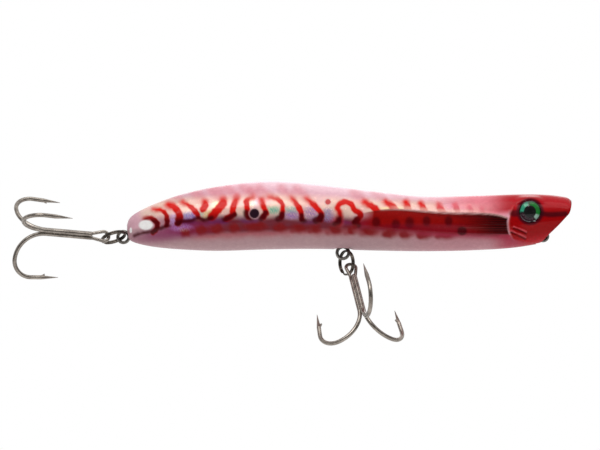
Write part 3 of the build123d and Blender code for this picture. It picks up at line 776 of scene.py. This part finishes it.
def paint_front(colours, x, z, height):
    """The dark red scoop with painted shade in its deep front part and a painted highlight along its ledge,
    the red head with its gill plate, painted highlights on the gill plate's rim and on the slits' lips,
    painted shade in the slit grooves, and the dark marks round the eye.
    """
    gill = along(z, GILL, key=1)
    ledge = along(x, LEDGE)
    low = along(x, SCOOP_FLOOR)
    behind = 1 - smooth((x - gill + 0.5) / 0.3)
    scoop = scoop_share(x, z)
    colours = layer(colours, CORAL, 0.9 * rise(x, -34, 16) * rise(height, 0.55, 0.15) * (x < -4))
    colours = layer(colours, CREAM, 0.55 * rise(x, -44, 6) * (1 - rise(x, -22, 9))
                    * np.exp(-((z - ledge - 0.5) / 0.5) ** 2))
    glow = behind * rise(x, -42, 14) * np.exp(-((z - low + 0.5) / 0.9) ** 2)
    colours = layer(colours, SCOOP_GLOW, 0.75 * glow)
    colours = layer(colours, SCOOP_RED, scoop)
    for reach, line in STRIPES[13:18]:
        foot = spot(x, z, line[-1], reach * 1.35, reach * 1.7, 0.9)
        colours = layer(colours, MAROON, 0.75 * foot * scoop)
    colours = layer(colours, WINE, scoop * 0.5 * rise(x, -48, 8) * (1 - rise(x, -24, 8))
                    * (1 - rise(z, 2.6, 1.2)))
    colours = layer(colours, MAROON, 0.9 * spot(x, z, (-22.2, 1.4), 1.3, 1.2, 0.6))
    # painted shade: the scoop darkens toward its deep front behind the gill plate, banded along the ribs
    lines = 0.5 + 0.5 * np.sin(z * 2 * math.pi / 0.62)
    colours = layer(colours, SCOOP_SHADE, scoop * rise(x, -26, 14) * (0.72 + 0.28 * lines))
    # painted highlight along the edge of the ledge over the scoop
    rim = np.exp(-((z - ledge + 0.02) / 0.24) ** 2) * rise(x, -46, 10) * behind
    colours = layer(colours, LEDGE_HIGHLIGHT, 0.85 * rim)

    head = rise(x, -21, 11)
    above = rise(height, 0.62, 0.12)
    colours = layer(colours, HEAD, head * above * rise(x, -20, 12))
    front = smooth((x - gill) / (0.35 + 5 * (1 - rise(z, -1.8, 1.2))))
    low_head = rise(x, -16, 7) * (1 - smooth((z - low + 0.1) / 0.5)) * rise(height, -0.1, 0.1)
    colours = layer(colours, LOW_HEAD, low_head * 0.85)
    colours = layer(colours, HEAD, front)
    cheek = front * (1 - rise(height, 0.62, 0.18)) * rise(height, 0.06, 0.2)
    colours = layer(colours, CHEEK, cheek * 0.9)
    on_gill = rise(z, -0.8, 1.2) * (1 - rise(z, 7.4, 1.2))
    # painted highlight along the raised rim of the gill plate
    colours = layer(colours, GILL_RIM_HIGHLIGHT, 0.6 * on_gill * np.exp(-((x - gill - 0.2) / 0.2) ** 2))
    # painted highlight on each slit's raised lip and painted shade in its groove
    for slit in SLITS:
        raised = [(px, pz + 0.45) for px, pz in slit]
        colours = layer(colours, SLIT_HIGHLIGHT, 0.75 * stroke(x, z, 0.2, raised, 0.35))
        colours = layer(colours, MAROON, 0.6 * stroke(x, z, 0.2, slit, 0.35))
    socket = np.hypot(x - EYE[0], z - EYE[1])
    colours = layer(colours, EYE_SOCKET, 0.85 * rise(socket, 2.6, 0.3)
                    * (1 - rise(socket, 3.3, 0.7)))
    colours = layer(colours, BEHIND_EYE, 0.8 * spot(x, z, (-8.1, 6.1), 1.4, 0.9, 0.9))
    streak = curve([(-0.4, 6.0), (1.6, 5.8), (5.6, 6.0)])
    colours = layer(colours, STREAK, 0.82 * (1 - smooth((distance(x, z, streak) - 0.3) / 0.8)))
    return colours


def facing_out(points, normals, top, bottom, half_width):
    """How far the surface faces away from the body's middle line: 1 straight outward, -1 straight inward."""
    half_height = np.maximum((top - bottom) / 2, 0.5)
    out_y = points[:, 1] / half_width ** 2
    out_z = (points[:, 2] - (top + bottom) / 2) / half_height ** 2
    return (out_y * normals[:, 1] + out_z * normals[:, 2]) / np.maximum(np.hypot(out_y, out_z), 1e-6)


# ---------------- materials
def node_material(name):
    """A new material with its Principled shader, and a function that adds nodes to it."""
    made = bpy.data.materials.new(name)
    made.use_nodes = True
    tree = made.node_tree
    shader = tree.nodes["Principled BSDF"]

    def add(kind, links=(), **settings):
        node = tree.nodes.new(kind)
        for key, value in settings.items():
            if hasattr(node, key):
                setattr(node, key, value)
            else:
                node.inputs[key].default_value = value
        for socket, source in dict(links).items():
            tree.links.new(source, node.inputs[socket])
        return node

    return made, tree, shader, add


def texture(add, kind, scale, **settings):
    """A noise or voronoi texture in the object's own coordinates."""
    place = add("ShaderNodeTexCoord")
    made = add(kind, {"Vector": place.outputs["Object"]}, **settings)
    made.inputs["Scale"].default_value = scale
    return made


def ramp(add, source, stops):
    """A colour ramp with its stops, as (place, colour)."""
    node = add("ShaderNodeValToRGB", {"Fac": source})
    elements = node.color_ramp.elements
    while len(elements) < len(stops):
        elements.new(0.5)
    for element, (place, colour) in zip(elements, stops):
        element.position = place
        element.color = rgba(colour) if len(colour) == 3 else colour
    return node


def mix(add, blend, factor, first, second):
    """Mixes two colours, each a socket or a colour."""
    node = add("ShaderNodeMix", data_type="RGBA", blend_type=blend)
    for index, value in ((0, factor), (6, first), (7, second)):
        if isinstance(value, bpy.types.NodeSocket):
            node.id_data.links.new(value, node.inputs[index])
        else:
            node.inputs[index].default_value = value
    return node.outputs[2]


def span(add, source, low, high):
    """A value from 0 to 1 turned into one from low to high."""
    node = add("ShaderNodeMapRange", {"Value": source})
    node.inputs["To Min"].default_value = low
    node.inputs["To Max"].default_value = high
    return node.outputs["Result"]


def bump(add, source, strength, depth):
    """A bump from a height."""
    node = add("ShaderNodeBump", {"Height": source})
    node.inputs["Strength"].default_value = strength
    node.inputs["Distance"].default_value = depth
    return node.outputs["Normal"]


def body_paint():
    """Clear-coated paint over holographic foil, driven by the colours and the foil share on the points."""
    made, tree, shader, add = node_material("painted_shell")
    colour = add("ShaderNodeAttribute", attribute_name="paint").outputs["Color"]
    foil = add("ShaderNodeAttribute", attribute_name="foil").outputs["Fac"]
    mottle = texture(add, "ShaderNodeTexNoise", 900, Detail=4.0, Roughness=0.6)
    tone = ramp(add, mottle.outputs["Fac"], [(0.3, (232, 226, 228)), (0.7, (255, 255, 255))])
    base = mix(add, "MULTIPLY", 0.55, colour, tone.outputs["Color"])
    flakes = texture(add, "ShaderNodeTexVoronoi", 5200)
    rainbow = ramp(add, texture(add, "ShaderNodeTexNoise", 160, Detail=2.0).outputs["Fac"],
                   [(0.3, (190, 150, 235)), (0.42, (250, 205, 215)), (0.55, (250, 235, 205)),
                    (0.64, (170, 225, 205)), (0.75, (225, 180, 235))])
    share = add("ShaderNodeMath", {0: foil, 1: span(add, flakes.outputs["Distance"], 0.0, 0.5)},
                operation="MULTIPLY")
    base = mix(add, "MIX", share.outputs[0], base, rainbow.outputs["Color"])
    tree.links.new(base, shader.inputs["Base Color"])
    tree.links.new(span(add, foil, 0.0, 0.3), shader.inputs["Metallic"])
    tree.links.new(span(add, mottle.outputs["Fac"], 0.2, 0.32), shader.inputs["Roughness"])
    shader.inputs["Specular IOR Level"].default_value = 0.05
    shader.inputs["Coat Weight"].default_value = 0.18
    shader.inputs["Coat Roughness"].default_value = 0.05
    height = add("ShaderNodeMath", {0: flakes.outputs["Distance"], 1: foil}, operation="MULTIPLY")
    tree.links.new(bump(add, height.outputs[0], 0.25, 0.00004), shader.inputs["Normal"])
    return made


def metal(name, light, dark, rough, scratch):
    """A metal whose tone, roughness and fine scratches vary over its surface."""
    made, tree, shader, add = node_material(name)
    cloud = texture(add, "ShaderNodeTexNoise", 420, Detail=5.0, Roughness=0.65)
    fine = texture(add, "ShaderNodeTexNoise", 5200, Detail=3.0)
    tone = ramp(add, cloud.outputs["Fac"], [(0.32, dark), (0.68, light)])
    tree.links.new(tone.outputs["Color"], shader.inputs["Base Color"])
    shader.inputs["Metallic"].default_value = 1.0
    tree.links.new(span(add, cloud.outputs["Fac"], rough * 0.7, rough * 1.4), shader.inputs["Roughness"])
    tree.links.new(bump(add, fine.outputs["Fac"], scratch, 0.00003), shader.inputs["Normal"])
    return made


def eye_foil():
    """Printed iris foil under the lens."""
    made, tree, shader, add = node_material("eye_foil")
    colour = add("ShaderNodeAttribute", attribute_name="paint").outputs["Color"]
    grain = texture(add, "ShaderNodeTexNoise", 3400, Detail=4.0)
    tone = ramp(add, grain.outputs["Fac"], [(0.3, (205, 205, 205)), (0.7, (255, 255, 255))])
    tree.links.new(mix(add, "MULTIPLY", 0.8, colour, tone.outputs["Color"]), shader.inputs["Base Color"])
    shader.inputs["Specular IOR Level"].default_value = 0.08
    tree.links.new(span(add, grain.outputs["Fac"], 0.35, 0.55), shader.inputs["Roughness"])
    tree.links.new(bump(add, grain.outputs["Fac"], 0.2, 0.00003), shader.inputs["Normal"])
    return made


def clear_resin():
    """The clear lens of an eye, very slightly uneven."""
    made, tree, shader, add = node_material("eye_resin")
    shader.inputs["Base Color"].default_value = (0.97, 0.99, 0.98, 1.0)
    shader.inputs["Transmission Weight"].default_value = 1.0
    shader.inputs["IOR"].default_value = 1.4
    shader.inputs["Specular IOR Level"].default_value = 0.25
    grain = texture(add, "ShaderNodeTexNoise", 700, Detail=2.0)
    tree.links.new(span(add, grain.outputs["Fac"], 0.01, 0.05), shader.inputs["Roughness"])
    tree.links.new(bump(add, grain.outputs["Fac"], 0.05, 0.00002), shader.inputs["Normal"])
    return made


# ---------------- pieces
def make_shells(material):
    """Both painted halves, which replace the plain CAD ones, with their eye pockets and slots cut."""
    low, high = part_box("right_eye_disc")
    eye = ((low.x + high.x) / 2 / MM, (low.z + high.z) / 2 / MM)
    radius = (high.x - low.x) / 2 / MM + 0.03
    verts, faces = right_half(eye, radius)
    for side, name in ((-1, "right"), (1, "left")):
        turned = verts * np.array((1, -side, 1))
        piece = new_object(f"{name}_painted_half", turned, faces)
        pocket = (eye[0], side * (EYE_FLOOR + POCKET_DEPTH / 2), eye[1])
        tools = [
            cutter("pocket", "bar", pocket, radius, POCKET_DEPTH),
            cutter("slot", "bar", (0, 0, 0), SLOT_RADIUS, 2 * SLOT_HALF_WIDTH),
            cutter("tail_slot", "bar", (TAIL_SLOT[0], 0, TAIL_SLOT[1]), TAIL_SLOT[2], 2 * TAIL_SLOT[3]),
            cutter("dimple", "ball", (DIMPLE[0], 0, DIMPLE[1]), DIMPLE[2]),
        ]
        cut(piece, tools)
        colours, foil = body_colours(coordinates(piece), point_normals(piece))
        paint(piece, "paint", colours)
        paint(piece, "foil", np.repeat(foil[:, None], 3, axis=1))
        piece.data.materials.clear()
        piece.data.materials.append(material)
        hold(piece, "lure_body", "painted_shell", f"{name}_shell")


def hold(piece, body, slot, *nodes):
    """Rides a piece on its body and hides the CAD nodes that it stands for. The slot argument is not used."""
    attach(piece, body)
    if nodes:
        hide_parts(*nodes)


def iris_colours(points, centre, radius):
    """The iris: printed black pupil, green foil and dark lower edge, with a painted glint at the lower right
    and a pale outer arc that is a painted rim highlight.
    """
    x, z = points[:, 0] - centre[0], points[:, 2] - centre[1]
    reach = np.hypot(x, z) / radius
    angle = np.degrees(np.arctan2(z, x))
    colours = np.tile(linear(IRIS_DARK), (len(x), 1))

    def arc(middle, half, soft=18):
        off = np.abs((angle - middle + 180) % 360 - 180)
        return 1 - smooth((off - half) / soft)

    ring = rise(reach, 0.50, 0.06) * (1 - rise(reach, 0.86, 0.06))
    streaks = 0.82 + 0.18 * np.sin(np.radians(angle) * 46)
    colours = layer(colours, IRIS_GREEN, ring * arc(28, 58) * streaks)
    colours = layer(colours, IRIS_CYAN, ring * arc(142, 30) * streaks)
    # painted highlight: a glint at the lower right of the ring
    colours = layer(colours, IRIS_GLINT, ring * arc(-36, 10, 12))
    colours = layer(colours, IRIS_MAROON, ring * arc(-118, 48))
    # painted highlight: a pale arc on the lower left of the iris's rim
    edge = 1 - smooth((np.abs(reach - 0.9) - 0.02) / 0.04)
    colours = layer(colours, IRIS_RIM_HIGHLIGHT, edge * arc(-125, 28))
    return layer(colours, PUPIL, 1 - rise(reach, 0.48, 0.04))


def make_lens(name, side, resin):
    """The smooth clear cap over an iris."""
    low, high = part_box(f"{name}_eye_dome")
    centre = ((low.x + high.x) / 2 / MM, (low.z + high.z) / 2 / MM)
    radius = (high.x - low.x) / 2 / MM
    back, top = sorted((abs(low.y) / MM, abs(high.y) / MM))
    ball = (radius ** 2 + (top - back) ** 2) / (2 * (top - back))
    profile = [(ball * math.sin(turn), top - ball + ball * math.cos(turn))
               for turn in np.linspace(math.asin(min(radius / ball, 1)), 0.01, 40)]
    verts, faces = lathe(profile, centre, side)
    piece = new_object(f"{name}_lens", verts, faces, 50)
    piece.data.materials.append(resin)
    hold(piece, "lure_body", "eye_resin", f"{name}_eye_dome")


def make_eyes(foil, resin):
    """The foil disc and lens of each eye."""
    for side, name in ((-1, "right"), (1, "left")):
        low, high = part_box(f"{name}_eye_disc")
        centre = ((low.x + high.x) / 2 / MM, (low.z + high.z) / 2 / MM)
        radius = (high.x - low.x) / 2 / MM
        back = min(abs(low.y), abs(high.y)) / MM
        front = max(abs(low.y), abs(high.y)) / MM
        inner = radius - IRIS_BEVEL
        profile = [(inner, back), (radius, back + IRIS_BEVEL), (radius, front - IRIS_BEVEL), (inner, front)]
        profile += [(radius * share, front - IRIS_HOLLOW * math.sin(math.pi * share))
                    for share in np.linspace(0.96, 0.02, 40)]
        verts, faces = lathe(profile, centre, side)
        piece = new_object(f"{name}_iris", verts, faces, 50)
        paint(piece, "paint", iris_colours(coordinates(piece), centre, radius))
        piece.data.materials.append(foil)
        hold(piece, "lure_body", "eye_foil", f"{name}_eye_disc")
        make_lens(name, side, resin)


def repaint(frame, node, material):
    """Gives a CAD node its finished material."""
    mesh = frame["nodes"][node].data
    mesh.materials.clear()
    mesh.materials.append(material)
    mesh.shade_smooth()
    mesh.set_sharp_from_angle(angle=math.radians(35))


def make_split_ring(joint, node, body, material):
    """One spring wire wound twice round, with the step where it crosses from one coil to the other."""
    centre = np.array(joint["pos_m"]) / MM
    axis = np.array(joint["axis"], float)
    axis /= np.linalg.norm(axis)
    across = np.cross(axis, (0.2, 0.9, 0.3))
    across /= np.linalg.norm(across)
    other = np.cross(axis, across)
    line = []
    for turn in np.linspace(0.02, 1.98, RING_STEPS):
        step = rise(turn, 0.94, 0.12) - 0.5
        angle = 2 * math.pi * turn
        out = across * math.cos(angle) + other * math.sin(angle)
        line.append(centre + RING_RADIUS * out + axis * RING_PITCH * step)
    radii = np.full(len(line), RING_WIRE / 2)
    radii[[0, -1]] *= 0.7
    verts, faces = tube(line, radii, 18)
    piece = new_object(f"{node}_wire", verts, faces, 60)
    piece.data.materials.append(material)
    hold(piece, body, "ring_steel", node)


# ---------------- studio
def area_light(name, place, target, size, power):
    """A soft box that points at a target. Places are in millimetres."""
    data = bpy.data.lights.new(name, "AREA")
    data.shape = "RECTANGLE"
    data.size, data.size_y = (side * MM for side in size)
    data.energy = power
    lamp = bpy.data.objects.new(name, data)
    lamp.location = Vector(place) * MM
    lamp.rotation_euler = (Vector(target) - Vector(place)).to_track_quat("-Z", "Y").to_euler()
    bpy.context.scene.collection.objects.link(lamp)


def world_light():
    """White behind the object, and for its lighting a sky that is darker below and toward the camera."""
    world = bpy.data.worlds.new("studio")
    bpy.context.scene.world = world
    world.use_nodes = True
    tree = world.node_tree
    tree.nodes.clear()
    new, link = tree.nodes.new, tree.links.new
    place = new("ShaderNodeTexCoord")
    split = new("ShaderNodeSeparateXYZ")

    def strength(axis, numbers):
        node = new("ShaderNodeMapRange")
        for key, value in zip(("From Min", "From Max", "To Min", "To Max"), numbers):
            node.inputs[key].default_value = value
        link(split.outputs[axis], node.inputs["Value"])
        return node.outputs["Result"]

    level = new("ShaderNodeMath")
    level.operation = "MULTIPLY"
    sky = new("ShaderNodeBackground")
    white = new("ShaderNodeBackground")
    path = new("ShaderNodeLightPath")
    both = new("ShaderNodeMixShader")
    out = new("ShaderNodeOutputWorld")
    link(place.outputs["Generated"], split.inputs[0])
    link(strength("Z", SKY_BY_HEIGHT), level.inputs[0])
    link(strength("Y", SKY_BY_SIDE), level.inputs[1])
    link(level.outputs[0], sky.inputs["Strength"])
    link(path.outputs["Is Camera Ray"], both.inputs[0])
    link(sky.outputs[0], both.inputs[1])
    link(white.outputs[0], both.inputs[2])
    white.inputs["Color"].default_value = (1, 1, 1, 1)
    sky.inputs["Color"].default_value = (1, 1, 1, 1)
    link(both.outputs[0], out.inputs["Surface"])


def make_studio(low):
    """Camera, floor and lights."""
    camera = bpy.data.cameras.new("camera")
    camera.lens = LENS
    camera.sensor_width = SENSOR
    eye = bpy.data.objects.new("camera", camera)
    away = VIEW_WIDTH * LENS / SENSOR
    eye.location = Vector((VIEW_MIDDLE[0], -away, VIEW_MIDDLE[1])) * MM
    eye.rotation_euler = (math.pi / 2, 0, 0)
    camera.clip_start, camera.clip_end = 0.05, 10
    bpy.context.scene.collection.objects.link(eye)
    bpy.context.scene.camera = eye

    drop = low.z / MM - FLOOR_DROP
    corners = [(x, y, drop) for x, y in zip(FLOOR_X + FLOOR_X[::-1], np.repeat(FLOOR_Y, 2).tolist())]
    floor = new_object("floor", corners, [(0, 1, 2, 3)])
    made, tree, shader, add = node_material("floor")
    grain = texture(add, "ShaderNodeTexNoise", 40, Detail=3.0)
    tone = ramp(add, grain.outputs["Fac"], [(0.3, (238, 238, 238)), (0.7, (244, 244, 244))])
    tree.links.new(tone.outputs["Color"], shader.inputs["Base Color"])
    shader.inputs["Roughness"].default_value = 0.8
    floor.data.materials.append(made)

    target = (VIEW_MIDDLE[0], 0, VIEW_MIDDLE[1])
    for name, place, size, power in LAMPS:
        area_light(name, place, target, size, power)
    world_light()
    bpy.context.scene.view_settings.view_transform = "Standard"


# ---------------- the whole scene
def main():
    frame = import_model()
    cad_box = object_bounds()
    make_studio(cad_box[0])
    joints = {joint["name"]: joint for joint in frame["joints"]}

    nickel, ring_steel, stainless, slug, brass, steel = (metal(name, *look) for name, look in METALS.items())

    make_shells(body_paint())
    make_eyes(eye_foil(), clear_resin())
    for end in ("belly", "tail"):
        make_split_ring(joints[f"{end}_hook_swing"], f"{end}_split_ring", f"{end}_ring", ring_steel)
        repaint(frame, f"{end}_double_hook", nickel)
        repaint(frame, f"{end}_single_hook", nickel)
        repaint(frame, f"{end}_weight", slug)
        repaint(frame, f"{end}_hanger_wire", stainless)
    repaint(frame, "line_tie_wire", stainless)
    for node in ("transfer_tube", "transfer_tube_cap", "rattle_tube", "rattle_tube_cap"):
        repaint(frame, node, brass)
    for node in ("rear_transfer_ball", "front_transfer_ball", "rattle_ball"):
        repaint(frame, node, steel)


main()
